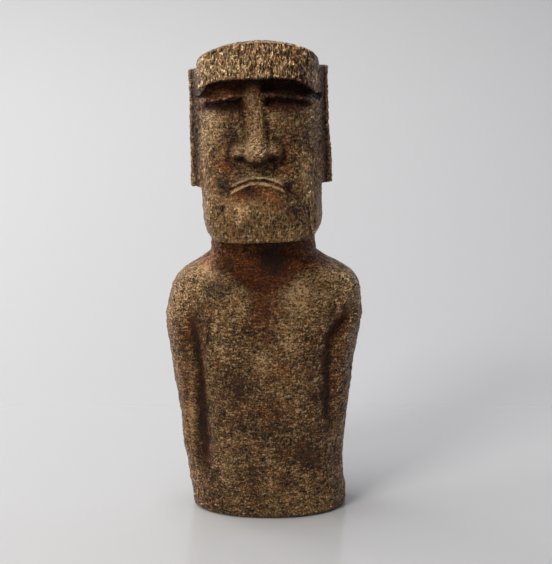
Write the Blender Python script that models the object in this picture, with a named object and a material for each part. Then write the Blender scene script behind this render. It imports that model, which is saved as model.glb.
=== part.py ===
"""A moai bust cast in resin in one piece: torso with arms in low relief, neck and long-eared head.

+Z is up and the figure faces -Y, so +X is on the right of someone who looks at its face.
The origin is on the flat underside, at the middle of the figure's width and depth. Lengths are in metres.
"""

import math
from collections import namedtuple

import bmesh
import bpy
from mathutils import Matrix, Vector

MM = 0.001

# Heights above the underside
SHOULDER_HEIGHT = 0.162
NECK_FOOT_HEIGHT = 0.216
CHIN_HEIGHT = 0.228
HEIGHT = 0.380

# Plan sizes: widths run along X, depths along Y from the neck's middle to the front or the back
BASE_WIDTH = 0.128
BASE_FRONT = 0.0415
BASE_BACK = 0.038
BASE_ROUND = 0.0045
SHOULDER_WIDTH = 0.1586
CHEST_FRONT = 0.0465
CHEST_BACK = 0.042
NECK_WIDTH = 0.0824
NECK_FRONT = 0.031
NECK_BACK = 0.0345
HEAD_WIDTH = 0.0945
FACE_FRONT = 0.044
HEAD_BACK = 0.040
HEAD_BACK_LEAN = 0.006
JAW_UNDERCUT = 0.0015

# How the hand-made figure stands off its plumb line
TORSO_SHIFT = -0.0055
HEAD_SHIFT = -0.0048
HEAD_TILT = math.radians(-1.8)
FACE_SHIFT = -0.0026

# The neck runs down into the chest in a rounded V
COLLAR_SAG = 0.025
COLLAR_HALF_WIDTH = 0.042

# Crown: a low vault from ear to ear, with rounded edges
VAULT_DROP = 0.0165
CROWN_FRONT_ROUND = 0.0010
CROWN_BACK_ROUND = 0.0085

# Brow: a band that juts out over the eyes and droops at its ends
BROW_OVERHANG = 0.0100
BROW_TOP_SET_BACK = 0.0060
BROW_DROOP = 0.0130

# Eyes
SOCKET_DEPTH = 0.0042
LID_RISE = 0.0024
LID_DROOP = 0.0028
EYE_HOLLOW_DEPTH = 0.0056
EYE_OFFSET = 0.0235
EYE_HALF_LENGTH = 0.0165
CHEEK_RISE = 0.0028

# Nose: a narrow bridge over a broad tip with two wings
BRIDGE_RISE = 0.0050
BRIDGE_HALF_WIDTH = 0.0054
TIP_RISE = 0.0180
TIP_HALF_WIDTH = 0.0082
WING_RISE = 0.0108
WING_OFFSET = 0.0130
WING_RADIUS = 0.0068
NOSTRIL_DEPTH = 0.0042
NOSTRIL_RADIUS = 0.0028

# Mouth and chin
MUZZLE_RISE = 0.0045
MOUTH_HALF_WIDTH = 0.0245
MOUTH_DROOP = 0.0094
MOUTH_SLIT_DEPTH = 0.0026
LIP_RISE = 0.0015
CHIN_RISE = 0.0080

# Ears: long slabs that stand off the sides of the head, each behind a groove
EAR_FRONT = -0.013
EAR_BREADTH = 0.027
EAR_FOOT_HEIGHT = 0.2698
EAR_LENGTH = 0.0905
EAR_STAND = 0.0076
EAR_TAPER = 0.0020
EAR_EDGE_ROUND = 0.0022
EAR_RIM = 0.0055
EAR_RECESS = 0.0022
EAR_STEP = 0.0008
EAR_GROOVE_BREADTH = 0.011
EAR_GROOVE_DEPTH = 0.0042

# Arms in low relief, each marked off from the torso by a groove, and the hollow down the back
ARM_GROOVE_DEPTH = 0.0074
ARM_GROOVE_BREADTH = 0.0042
ARM_SWELL = 0.0016
SPINE_HOLLOW_DEPTH = 0.0022

# Columns of the mesh on one side of the figure, and rings that close its top and underside
FACE_COLUMNS = 21
BACK_COLUMNS = 6
CROWN_RINGS = (0.96, 0.87, 0.72, 0.50, 0.26)
UNDERSIDE_RING = 0.6

HEAD_HEIGHT = HEIGHT - CHIN_HEIGHT
HEAD_HALF_WIDTH = HEAD_WIDTH / 2
EAR_FOOT = EAR_FOOT_HEIGHT - CHIN_HEIGHT
EAR_TOP = EAR_FOOT + EAR_LENGTH

# Heights on the face above the chin, as shares of the head's height
BROW_EDGE = 0.818 * HEAD_HEIGHT
LID = 0.742 * HEAD_HEIGHT
EYE_HOLLOW = 0.706 * HEAD_HEIGHT
TIP_TOP = 0.602 * HEAD_HEIGHT
TIP = 0.463 * HEAD_HEIGHT
TIP_UNDER = 0.432 * HEAD_HEIGHT
NOSE_FOOT = 0.380 * HEAD_HEIGHT
MOUTH = 0.320 * HEAD_HEIGHT
CHIN_TOP = 0.205 * HEAD_HEIGHT

# Outline across the ear: distance behind its front edge, and how far it stands off the head as a share
# of the ear's stand or, in front of the ear, of the groove's depth; then 1 where it is recessed
EAR_OUTLINE = (
    (-EAR_GROOVE_BREADTH, 0.0, 0),
    (-0.60 * EAR_GROOVE_BREADTH, -0.50, 0),
    (-0.25 * EAR_GROOVE_BREADTH, -1.0, 0),
    (-EAR_STEP, -0.90, 0),
    (0.0, 0.80, 0),
    (EAR_EDGE_ROUND, 1.0, 0),
    (EAR_RIM, 1.0, 0),
    (EAR_RIM + 2 * MM, 1.0, 1),
    (EAR_BREADTH - EAR_RIM, 1.0, 1),
    (EAR_BREADTH - 0.5 * EAR_RIM, 1.0, 0),
    (EAR_BREADTH, 0.80, 0),
    (EAR_BREADTH + EAR_STEP, 0.0, 0),
)

# A ring round the torso or neck: shift is how far its middle stands to the side, sag how far its front dips
Section = namedtuple("Section", "height half_width shift front back power sag")

# A ring round the head. Its height above the chin runs from middle, at the middle of the face, to side,
# at the ears and the back, and between them it follows shares of the mouth's and the brow's droop. brow is
# 1 on the overhanging band, ear is 1 where the ears stand out, size is its share of the head's full width.
Course = namedtuple("Course", "middle side mouth_line brow_line brow ear size")


def mix(start, end, share):
    return start + (end - start) * share


def smooth(share):
    """Eases from 0 to 1 as share does, and stays there."""
    share = min(max(share, 0.0), 1.0)
    return share * share * (3 - 2 * share)


def hump(distance, reach):
    """1 at no distance, falling away softly over the reach."""
    return math.exp(-((distance / reach) ** 2))


def slab(distance, reach, edge):
    """1 within the reach, easing to 0 over the edge's width beyond it."""
    return 1 - smooth((abs(distance) - reach) / edge)


def torso_sections():
    """Rings from the underside to the top of the neck."""
    half_base = BASE_WIDTH / 2
    sections = []
    for height, inset in ((0.0, 0.8), (0.3, 0.25), (1.0, 0.0)):
        edge = inset * BASE_ROUND
        front, back = BASE_FRONT - edge, BASE_BACK - edge
        sections.append(Section(height * BASE_ROUND, half_base - edge, 0.0, front, back, 2.1, 0.0))
    # Share of the way up to the shoulders: share of the widening, of the drift sideways, of the deepening
    flank = (
        (0.08, 0.01, 0.10, 0.04),
        (0.18, 0.02, 0.58, 0.15),
        (0.31, 0.10, 0.75, 0.32),
        (0.445, 0.18, 0.82, 0.50),
        (0.586, 0.38, 0.95, 0.66),
        (0.73, 0.59, 1.00, 0.82),
        (0.865, 0.80, 0.96, 0.95),
        (1.0, 1.00, 0.92, 1.00),
    )
    for share, wider, drift, deeper in flank:
        half_width = mix(BASE_WIDTH, SHOULDER_WIDTH, wider) / 2
        front, back = mix(BASE_FRONT, CHEST_FRONT, deeper), mix(BASE_BACK, CHEST_BACK, deeper)
        height, shift, power = share * SHOULDER_HEIGHT, drift * TORSO_SHIFT, mix(2.1, 2.4, smooth(2 * share))
        sections.append(Section(height, half_width, shift, front, back, power, 0.0))
    # Share of the way from the shoulders to the neck: share of the width and of the depth still left,
    # of the drift sideways and of the collar's sag
    slope = (
        (0.22, 0.972, 0.94, 0.70, 0.16),
        (0.39, 0.935, 0.84, 0.54, 0.34),
        (0.54, 0.860, 0.71, 0.46, 0.50),
        (0.67, 0.725, 0.56, 0.48, 0.65),
        (0.78, 0.480, 0.40, 0.62, 0.78),
        (0.87, 0.250, 0.22, 0.74, 0.88),
        (0.935, 0.105, 0.08, 0.84, 0.97),
        (1.0, 0.025, 0.01, 0.90, 1.00),
    )
    for share, width_left, depth_left, drift, sag in slope:
        height = mix(SHOULDER_HEIGHT, NECK_FOOT_HEIGHT, share)
        half_width = mix(NECK_WIDTH, SHOULDER_WIDTH, width_left) / 2
        front, back = mix(NECK_FRONT, CHEST_FRONT, depth_left), mix(NECK_BACK, CHEST_BACK, depth_left)
        shift, dip = drift * TORSO_SHIFT, sag * COLLAR_SAG
        sections.append(Section(height, half_width, shift, front, back, 2.4, dip))
    neck_top = CHIN_HEIGHT + JAW_UNDERCUT
    sections.append(Section(neck_top, NECK_WIDTH / 2, HEAD_SHIFT, NECK_FRONT, NECK_BACK, 2.4, 0.0))
    return sections


def head_courses():
    """Rings from the underside of the jaw to just below the edge of the crown."""
    return [
        Course(0.4 * MM, 2.2 * MM, 0, 0, 0, 0, 0.895),
        Course(0.6 * MM, 2.6 * MM, 0, 0, 0, 0, 0.915),
        Course(3.0 * MM, 6.2 * MM, 0, 0, 0, 0, 0.960),
        Course(7.5 * MM, 10.8 * MM, 0, 0, 0, 0, 0.990),
        Course(0.45 * CHIN_TOP, 16.0 * MM, 0.00, 0, 0, 0, 1.0),
        Course(0.66 * CHIN_TOP, 21.0 * MM, 0.10, 0, 0, 0, 1.0),
        Course(0.86 * CHIN_TOP, 26.0 * MM, 0.25, 0, 0, 0, 1.0),
        Course(1.05 * CHIN_TOP, 30.5 * MM, 0.45, 0, 0, 0, 1.0),
        Course(MOUTH - 10.4 * MM, 34.5 * MM, 0.70, 0, 0, 0, 1.0),
        Course(MOUTH - 6.0 * MM, EAR_FOOT - 4.2 * MM, 0.90, 0, 0, 0, 1.0),
        Course(MOUTH - 2.9 * MM, EAR_FOOT - 1.8 * MM, 1.00, 0, 0, 0, 1.0),
        Course(MOUTH, EAR_FOOT - 0.6 * MM, 1.00, 0, 0, 0, 1.0),
        Course(MOUTH + 2.8 * MM, EAR_FOOT, 1.00, 0, 0, 1, 1.0),
        Course(MOUTH + 5.4 * MM, EAR_FOOT + 2.6 * MM, 0.90, 0, 0, 1, 1.0),
        Course(NOSE_FOOT, EAR_FOOT + 6.0 * MM, 0.72, 0, 0, 1, 1.0),
        Course(mix(NOSE_FOOT, TIP, 0.22), EAR_FOOT + 9.4 * MM, 0.60, 0, 0, 1, 1.0),
        Course(mix(NOSE_FOOT, TIP, 0.43), EAR_FOOT + 12.9 * MM, 0.48, 0, 0, 1, 1.0),
        Course(mix(NOSE_FOOT, TIP, 0.63), EAR_FOOT + 16.4 * MM, 0.38, 0, 0, 1, 1.0),
        Course(mix(NOSE_FOOT, TIP, 0.82), EAR_FOOT + 20.0 * MM, 0.28, 0, 0, 1, 1.0),
        Course(TIP, EAR_FOOT + 23.7 * MM, 0.20, 0, 0, 1, 1.0),
        Course(mix(TIP, TIP_TOP, 0.16), EAR_FOOT + 27.6 * MM, 0.12, 0, 0, 1, 1.0),
        Course(mix(TIP, TIP_TOP, 0.34), EAR_FOOT + 31.6 * MM, 0.06, 0, 0, 1, 1.0),
        Course(mix(TIP, TIP_TOP, 0.54), EAR_FOOT + 35.8 * MM, 0.0, 0.00, 0, 1, 1.0),
        Course(mix(TIP, TIP_TOP, 0.76), EAR_FOOT + 40.2 * MM, 0.0, 0.04, 0, 1, 1.0),
        Course(TIP_TOP, EAR_FOOT + 44.8 * MM, 0.0, 0.10, 0, 1, 1.0),
        Course(mix(TIP_TOP, EYE_HOLLOW, 0.36), EAR_FOOT + 49.4 * MM, 0.0, 0.20, 0, 1, 1.0),
        Course(mix(TIP_TOP, EYE_HOLLOW, 0.70), EAR_FOOT + 54.0 * MM, 0.0, 0.32, 0, 1, 1.0),
        Course(EYE_HOLLOW, EAR_FOOT + 58.4 * MM, 0.0, 0.45, 0, 1, 1.0),
        Course(mix(EYE_HOLLOW, LID, 0.55), EAR_FOOT + 62.4 * MM, 0.0, 0.56, 0, 1, 1.0),
        Course(LID, EAR_FOOT + 65.4 * MM, 0.0, 0.66, 0, 1, 1.0),
        Course(mix(LID, BROW_EDGE, 0.30), EAR_FOOT + 67.8 * MM, 0.0, 0.80, 0, 1, 1.0),
        Course(BROW_EDGE + 0.5 * MM, EAR_FOOT + 69.8 * MM, 0.0, 1.0, 0, 1, 1.0),
        Course(BROW_EDGE - 0.2 * MM, EAR_FOOT + 70.8 * MM, 0.0, 1.0, 1, 1, 1.0),
        Course(BROW_EDGE + 2.2 * MM, EAR_FOOT + 73.6 * MM, 0.0, 0.94, 1, 1, 1.0),
        Course(BROW_EDGE + 7.0 * MM, EAR_FOOT + 78.6 * MM, 0.0, 0.80, 1, 1, 1.0),
        Course(BROW_EDGE + 12.4 * MM, EAR_FOOT + 84.2 * MM, 0.0, 0.62, 1, 1, 1.0),
        Course(BROW_EDGE + 17.4 * MM, EAR_TOP - 1.2 * MM, 0.0, 0.50, 1, 1, 1.0),
        Course(BROW_EDGE + 20.6 * MM, EAR_TOP, 0.0, 0.44, 1, 0, 1.0),
    ]


def mouth_sink(x):
    """How far the line of the mouth lies below its middle."""
    return MOUTH_DROOP * (1 - math.cos(min(abs(x) / MOUTH_HALF_WIDTH, 1.0) * math.pi / 2))


def brow_sink(x):
    """How far the brow's lower edge lies below its middle: nearly level, then drooping at both ends."""
    return BROW_DROOP * min(abs(x) / HEAD_HALF_WIDTH, 1.0) ** 4.5


def facing(y):
    """1 on the front of the head, easing to 0 at its sides."""
    return smooth((-y / FACE_FRONT - 0.34) / 0.28)


def head_back(h):
    """How far back the head reaches: less at the jaw, and leaning in towards the crown."""
    at_jaw = 1.5 * MM * (1 - smooth(h / (0.3 * HEAD_HEIGHT)))
    return HEAD_BACK - at_jaw - HEAD_BACK_LEAN * smooth((h / HEAD_HEIGHT - 0.35) / 0.8)


def crown_height(x, y):
    """Height of the crown above the chin: the vault, rounded over at the front and more at the back."""
    share = min(abs(x) / HEAD_HALF_WIDTH, 1.0)
    vault = VAULT_DROP * (1 - (1 - share**1.9) ** (1 / 1.9))
    reach, edge = (FACE_FRONT, CROWN_FRONT_ROUND) if y < 0 else (head_back(HEAD_HEIGHT), CROWN_BACK_ROUND)
    share = min(abs(y) / reach, 1.0)
    return HEAD_HEIGHT - vault - edge * (1 - (1 - share**5) ** 0.5)


def outline_point(angle, half_width, front, back, power):
    """Point of a rounded-square outline. Angle 0 is at the front, and it turns towards +X."""
    across, ahead = math.sin(angle), math.cos(angle)
    depth = front if ahead > 0 else back
    reach = (abs(across / half_width) ** power + abs(ahead / depth) ** power) ** (-1 / power)
    return Vector((reach * across, -reach * ahead, 0))


def outline_normal(point, half_width, front, back, power):
    """Level direction that points straight out of that outline."""
    depth = front if point.y < 0 else back
    across = math.copysign(abs(point.x / half_width) ** (power - 1) / half_width, point.x)
    along = math.copysign(abs(point.y / depth) ** (power - 1) / depth, point.y)
    return Vector((across, along, 0)).normalized()


def head_outline(angle, h, size):
    """Point of the head's plain outline at a height above the chin, rounder at the jaw."""
    inset = HEAD_HALF_WIDTH * (1 - size)
    front, back = FACE_FRONT - 0.5 * inset, head_back(h) - 0.5 * inset
    power = mix(2.5, 3.1, smooth(h / (0.35 * HEAD_HEIGHT)))
    return outline_point(angle, HEAD_HALF_WIDTH - inset, front, back, power)


def column_angles():
    """Angles of all columns from the front round to the front, close together on the face."""
    ear = [math.atan2(HEAD_HALF_WIDTH, -(EAR_FRONT + place)) for place, _, _ in EAR_OUTLINE]
    half = []
    for i in range(1, FACE_COLUMNS):
        share = i / FACE_COLUMNS
        half.append(ear[0] * (0.74 * share + 0.26 * share**3))
    half += ear
    for i in range(1, BACK_COLUMNS + 1):
        half.append(mix(ear[-1], math.pi, i / (BACK_COLUMNS + 1)))
    return [0.0] + half + [math.pi] + [-angle for angle in reversed(half)]


def eye_relief(x, h):
    """Socket under the brow, the lid's ridge along its lower edge and the hollow under the lid."""
    h += LID_DROOP * (abs(x) / HEAD_HALF_WIDTH) ** 2 * 2
    beside_nose = smooth((abs(x) - 0.7 * BRIDGE_HALF_WIDTH) / (5 * MM))
    length = slab(abs(x) - EYE_OFFSET, EYE_HALF_LENGTH - 3 * MM, 8 * MM)
    lid = LID_RISE * hump(h - LID - 0.6 * MM, 2.4 * MM) * length
    hollow = EYE_HOLLOW_DEPTH * hump(h - EYE_HOLLOW, 3.2 * MM) * length
    socket = SOCKET_DEPTH * smooth((h - LID + 1.5 * MM) / (4.5 * MM))
    return beside_nose * (lid - hollow - socket)


def nostril_hole(x, h):
    """1 in the middle of a nostril, under the wing of the nose, easing to 0 round it."""
    return hump(math.hypot((abs(x) - WING_OFFSET) / 1.6, h - TIP + 5.6 * MM), NOSTRIL_RADIUS)


def nose_relief(x, h):
    """Narrow bridge that swells into a broad tip with a wing on each side, over a short underside."""
    up = min(max((h - TIP) / (BROW_EDGE - TIP), 0.0), 1.0)
    swell = (1 - up) ** 2.1
    half_width = mix(BRIDGE_HALF_WIDTH, TIP_HALF_WIDTH, swell)
    under = smooth((h - NOSE_FOOT) / (TIP_UNDER - NOSE_FOOT))
    ridge = mix(BRIDGE_RISE, TIP_RISE, swell) * under * math.exp(-abs(x / (1.18 * half_width)) ** 2.8)
    from_wing = math.hypot(abs(x) - WING_OFFSET, 0.80 * (h - TIP + 1 * MM))
    under_wing = smooth((h - NOSE_FOOT - 3 * MM) / (TIP_UNDER - NOSE_FOOT))
    wing = WING_RISE * math.exp(-((from_wing / WING_RADIUS) ** 2.2)) * under_wing**0.6
    return (ridge**3.5 + wing**3.5) ** (1 / 3.5) - NOSTRIL_DEPTH * nostril_hole(x, h)


def mouth_relief(x, h):
    """Turned-down mouth on a low muzzle: two thin lips, the slit between them and a hollow below."""
    line = h - MOUTH + mouth_sink(x)
    within = slab(x, 0.80 * MOUTH_HALF_WIDTH, 0.30 * MOUTH_HALF_WIDTH)
    muzzle = MUZZLE_RISE * hump(x, 27 * MM) * hump(h - MOUTH + 1 * MM, 14 * MM)
    lips = LIP_RISE * (hump(line - 2.3 * MM, 1.7 * MM) + 1.2 * hump(line + 2.4 * MM, 1.9 * MM))
    slit = MOUTH_SLIT_DEPTH * hump(line, 1.0 * MM)
    corner = 2.2 * MM * hump(abs(x) - MOUTH_HALF_WIDTH, 4.5 * MM) * hump(line - 1 * MM, 4.5 * MM)
    hollow = 2.6 * MM * hump(line + 9.0 * MM, 4.4 * MM) * hump(x, 18 * MM)
    return muzzle + within * (lips - slit) - corner - hollow


def face_relief(x, h):
    """How far the face below the brow stands forward, x to the side and h above the chin."""
    cheek = CHEEK_RISE * hump(h - 0.56 * HEAD_HEIGHT, 27 * MM) * hump(abs(x) - 25 * MM, 16 * MM)
    chin = CHIN_RISE * (1 - smooth((h - 0.35 * CHIN_TOP) / (1.15 * CHIN_TOP)))
    return cheek + chin + nose_relief(x, h) + mouth_relief(x, h) + eye_relief(x, h)


def brow_relief(x, h):
    """How far the band over the eyes stands forward of the plain outline."""
    above = h - BROW_EDGE + brow_sink(x)
    return BROW_OVERHANG - BROW_TOP_SET_BACK * smooth(above / (HEAD_HEIGHT - BROW_EDGE))


def ear_relief(angle, h, ear):
    """How far the side of the head stands out in this direction, with the groove before each ear."""
    if abs(math.sin(angle)) < 0.5:
        return 0.0
    place = -HEAD_HALF_WIDTH * math.cos(angle) / abs(math.sin(angle)) - EAR_FRONT
    along = min(max((h - EAR_FOOT) / EAR_LENGTH, 0.0), 1.0)
    stand = EAR_STAND + EAR_TAPER * (0.5 - along)
    recess = EAR_RECESS * slab(along - 0.58, 0.32, 0.08)
    for (start, low, hollow), (end, high, next_hollow) in zip(EAR_OUTLINE, EAR_OUTLINE[1:]):
        if start - 1e-6 <= place <= end + 1e-6:
            share = (place - start) / (end - start)
            level = mix(low, high, share)
            depth = EAR_GROOVE_DEPTH if level < 0 else stand
            return ear * (level * depth - recess * mix(hollow, next_hollow, share))
    return 0.0


def head_point(angle, course):
    """Point of a ring round the head, before the head's shift and tilt."""
    plan = head_outline(angle, course.side, course.size)
    front = facing(plan.y)
    at_side = 1 - front * (1 - smooth((abs(plan.x) - 0.80 * HEAD_HALF_WIDTH) / (0.19 * HEAD_HALF_WIDTH)))
    x = plan.x - FACE_SHIFT
    on_face = course.middle - course.mouth_line * mouth_sink(x) - course.brow_line * brow_sink(x)
    h = mix(on_face, course.side, at_side)
    forward = brow_relief(x, h) if course.brow else face_relief(x, h)
    outward = math.copysign(ear_relief(angle, h, course.ear), plan.x)
    return Vector((plan.x + outward, plan.y - forward * front, h))


def crown_point(angle, size):
    """Point of a ring on the crown, before the head's shift and tilt. Size 1 is the crown's edge."""
    rim = head_outline(angle, HEAD_HEIGHT, 1.0)
    h = crown_height(rim.x * size, rim.y * size)
    forward = brow_relief(rim.x - FACE_SHIFT, h) * facing(rim.y)
    return Vector((rim.x * size, (rim.y - forward) * size, h))


def place_head(point):
    """Moves a point of the head from its own axes to the figure's, shifted and tilted about the chin."""
    turned = Matrix.Rotation(HEAD_TILT, 3, "Y") @ point
    return turned + Vector((HEAD_SHIFT, 0, CHIN_HEIGHT))


def arm_groove(z, side):
    """Distance from the middle at which the groove beside an arm runs, and its depth there from 0 to 1."""
    share = z / SHOULDER_HEIGHT
    if side < 0:
        spread = mix(54.0, 60.0, smooth((share - 0.60) / 0.50)) * MM
        depth = smooth((share - 0.18) / 0.20) * (1 - smooth((share - 0.86) / 0.24))
    else:
        spread = (57.0 + 12.0 * smooth((share - 0.90) / 0.16)) * MM
        depth = 0.70 * smooth((share - 0.36) / 0.24) * (1 - smooth((share - 0.98) / 0.12))
    return spread, depth


def arm_relief(x, z):
    """The arm's swell and its groove, steep beside the arm and easing out towards the torso."""
    spread, depth = arm_groove(z, x)
    beyond = abs(x) - spread
    breadth = ARM_GROOVE_BREADTH if beyond > 0 else 2.4 * ARM_GROOVE_BREADTH
    return depth * (ARM_SWELL * hump(beyond - 9 * MM, 6 * MM) - ARM_GROOVE_DEPTH * hump(beyond, breadth))


def torso_point(angle, section):
    """Point of a ring round the torso or neck."""
    outline = (section.half_width, section.front, section.back, section.power)
    plan = outline_point(angle, *outline)
    relief = arm_relief(plan.x, section.height)
    if plan.y > 0:
        share = section.height / SHOULDER_HEIGHT
        down_spine = smooth(share / 0.4) * (1 - smooth((share - 0.95) / 0.3)) * hump(plan.x, 11 * MM)
        relief = 0.35 * relief - SPINE_HOLLOW_DEPTH * down_spine
    point = plan + outline_normal(plan, *outline) * relief
    in_front = smooth(-plan.y / (0.6 * section.front))
    dip = section.sag * in_front * (1 - smooth(abs(plan.x) / COLLAR_HALF_WIDTH))
    return Vector((point.x + section.shift, point.y, section.height - dip))


def figure_rings():
    """All rings from the underside to the crown, each a list of points, and the crown's top."""
    angles = column_angles()
    sections = torso_sections()
    rings = [[torso_point(angle, sections[0]) * UNDERSIDE_RING for angle in angles]]
    rings += [[torso_point(angle, section) for angle in angles] for section in sections]
    rings += [[place_head(head_point(angle, course)) for angle in angles] for course in head_courses()]
    rings += [[place_head(crown_point(angle, size)) for angle in angles] for size in (1.0, *CROWN_RINGS)]
    return rings, place_head(Vector((0, 0, HEAD_HEIGHT)))


def plan_middle(rings):
    """Middle of the figure's width and depth."""
    across = [point.x for ring in rings for point in ring]
    along = [point.y for ring in rings for point in ring]
    return Vector(((min(across) + max(across)) / 2, (min(along) + max(along)) / 2, 0))


def loft(name, rings, bottom, top):
    """One closed mesh through the rings, with a fan to a middle point at each end."""
    mesh = bmesh.new()
    rows = [[mesh.verts.new(point) for point in ring] for ring in rings]
    count = len(rows[0])
    for lower, upper in zip(rows, rows[1:]):
        for i in range(count):
            j = (i + 1) % count
            mesh.faces.new((lower[i], lower[j], upper[j], upper[i]))
    first, last = mesh.verts.new(bottom), mesh.verts.new(top)
    for i in range(count):
        j = (i + 1) % count
        mesh.faces.new((rows[0][j], rows[0][i], first))
        mesh.faces.new((rows[-1][i], rows[-1][j], last))
    data = bpy.data.meshes.new(name)
    mesh.to_mesh(data)
    mesh.free()
    data.shade_smooth()
    data.set_sharp_from_angle(angle=math.radians(50))
    piece = bpy.data.objects.new(name, data)
    bpy.context.scene.collection.objects.link(piece)
    return piece


def bronzed_resin():
    """Cast resin under a rubbed bronze paint."""
    material = bpy.data.materials.new("bronzed_resin")
    material.use_nodes = True
    shader = material.node_tree.nodes["Principled BSDF"]
    shader.inputs["Base Color"].default_value = (0.13, 0.075, 0.038, 1.0)
    shader.inputs["Metallic"].default_value = 0.5
    shader.inputs["Roughness"].default_value = 0.5
    return material


def build():
    for leftover in list(bpy.data.objects):
        bpy.data.objects.remove(leftover)
    rings, crown = figure_rings()
    middle = plan_middle(rings)
    rings = [[point - middle for point in ring] for ring in rings]
    underside = sum(rings[0], Vector()) / len(rings[0])
    bust = loft("moai_bust", rings, underside, crown - middle)
    bust.data.materials.append(bronzed_resin())


build()
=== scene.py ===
"""Looks of the resin moai bust: the cast figure with its carved grain and rubbed bronze paint.

+X is on the right of someone who looks at its face, which is turned to -Y, and +Z is up. Lengths are in
metres.
"""

import math
from collections import namedtuple

import bpy
import numpy as np
from mathutils import Matrix, Vector, noise


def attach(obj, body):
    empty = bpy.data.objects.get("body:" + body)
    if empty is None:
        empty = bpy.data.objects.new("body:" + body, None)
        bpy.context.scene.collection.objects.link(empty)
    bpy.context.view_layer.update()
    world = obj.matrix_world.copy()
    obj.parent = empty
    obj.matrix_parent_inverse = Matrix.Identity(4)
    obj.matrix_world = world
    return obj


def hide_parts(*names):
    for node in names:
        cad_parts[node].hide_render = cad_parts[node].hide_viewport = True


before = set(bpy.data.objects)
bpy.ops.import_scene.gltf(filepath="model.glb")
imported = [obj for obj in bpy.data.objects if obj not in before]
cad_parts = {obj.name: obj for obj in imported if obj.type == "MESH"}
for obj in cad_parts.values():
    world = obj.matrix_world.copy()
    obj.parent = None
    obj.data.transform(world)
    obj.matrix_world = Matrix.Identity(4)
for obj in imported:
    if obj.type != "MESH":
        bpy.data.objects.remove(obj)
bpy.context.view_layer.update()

MM = 0.001

# Heights above the underside
SHOULDER_HEIGHT = 0.162
STERNUM_HEIGHT = 0.172
SLOPE_HEIGHT = 0.190
THROAT_HEIGHT = 0.214
NECK_FOOT_HEIGHT = 0.216
CHIN_HEIGHT = 0.228
HEIGHT = 0.380

# Plan sizes: widths run along X, depths along Y from the neck's middle to the front or the back
BASE_WIDTH = 0.128
BASE_FRONT = 0.0415
BASE_BACK = 0.038
BASE_ROUND = 0.0045
SHOULDER_WIDTH = 0.1586
CHEST_FRONT = 0.0465
CHEST_BACK = 0.042
NECK_WIDTH = 0.0824
NECK_FRONT = 0.031
NECK_BACK = 0.0345
HEAD_WIDTH = 0.0945
FACE_FRONT = 0.044
HEAD_BACK = 0.040
HEAD_BACK_LEAN = 0.006
JAW_SET_BACK = 0.0015
JAW_UNDERCUT = 0.0015

# How the hand-made figure stands off its plumb line
TORSO_SHIFT = -0.0055
HEAD_SHIFT = -0.0048
HEAD_TILT = math.radians(-1.8)
FACE_SHIFT = -0.0026

# The neck runs down into the chest in a rounded V
COLLAR_SAG = 0.025
COLLAR_HALF_WIDTH = 0.042

# Crown: a low vault from ear to ear, with rounded edges
VAULT_DROP = 0.0165
CROWN_FRONT_ROUND = 0.0010
CROWN_BACK_ROUND = 0.0085

# Brow: a band that juts out over the eyes and droops at its ends
BROW_OVERHANG = 0.0100
BROW_TOP_SET_BACK = 0.0060
BROW_DROOP = 0.0130

# Eyes. The socket on the left is shallower by that share
SOCKET_DEPTH = 0.0042
LEFT_SOCKET_SHALLOWER = 0.35
LID_RISE = 0.0024
LID_DROOP = 0.0028
LID_HALF_HEIGHT = 0.0024
EYE_HOLLOW_DEPTH = 0.0056
EYE_HOLLOW_HALF_HEIGHT = 0.0032
EYE_OFFSET = 0.0235
EYE_HALF_LENGTH = 0.0165
CHEEK_RISE = 0.0028
CHEEK_OFFSET = 0.025

# How the brow's lower edge and the lids stray from their line: waves with a height and a length in mm, and
# a seed
BROW_WAVES = ((0.5, 5.5, 3.1), (0.3, 2.2, 7.7))
LID_WAVES = ((1.0, 4.0, 5.2), (0.5, 1.8, 1.4))

# Nose: a narrow bridge over a broad tip with two wings
BRIDGE_RISE = 0.0050
BRIDGE_HALF_WIDTH = 0.0054
TIP_RISE = 0.0180
TIP_HALF_WIDTH = 0.0082
WING_RISE = 0.0108
WING_OFFSET = 0.0130
WING_RADIUS = 0.0068
NOSTRIL_DEPTH = 0.0042
NOSTRIL_RADIUS = 0.0028
NOSE_CREASE_DEPTH = 0.0013

# Mouth and chin. The lips and the hollow lie that far above or below the slit
MUZZLE_RISE = 0.0045
MUZZLE_HALF_WIDTH = 0.027
MUZZLE_HALF_HEIGHT = 0.014
MOUTH_HALF_WIDTH = 0.0245
MOUTH_DROOP = 0.0094
MOUTH_SLIT_DEPTH = 0.0026
MOUTH_CORNER_DEPTH = 0.0022
LIP_RISE = 0.0015
UPPER_LIP = 0.0023
LOWER_LIP = 0.0024
LIP_HOLLOW_DEPTH = 0.0026
LIP_HOLLOW = 0.0090
CHIN_RISE = 0.0080

# Ears: long slabs that stand off the sides of the head, each behind a groove
EAR_FRONT = -0.013
EAR_BREADTH = 0.027
EAR_FOOT_HEIGHT = 0.2698
EAR_LENGTH = 0.0905
EAR_STAND = 0.0076
EAR_TAPER = 0.0020
EAR_EDGE_ROUND = 0.0022
EAR_RIM = 0.0055
EAR_RECESS = 0.0022
EAR_STEP = 0.0008
EAR_GROOVE_BREADTH = 0.011
EAR_GROOVE_DEPTH = 0.0042

# Arms in low relief, each marked off from the torso by a groove that runs that far from the middle, and the
# hollow down the back
LEFT_GROOVE_OFFSET = 0.054
LEFT_ARMPIT_OFFSET = 0.060
RIGHT_GROOVE_OFFSET = 0.057
RIGHT_ARMPIT_OFFSET = 0.069
ARM_GROOVE_DEPTH = 0.0074
ARM_GROOVE_BREADTH = 0.0042
ARM_SWELL = 0.0016
ARM_SWELL_OFFSET = 0.009
ARM_SWELL_REACH = 0.006
SPINE_HOLLOW_DEPTH = 0.0022
SPINE_HOLLOW_HALF_WIDTH = 0.011

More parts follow.
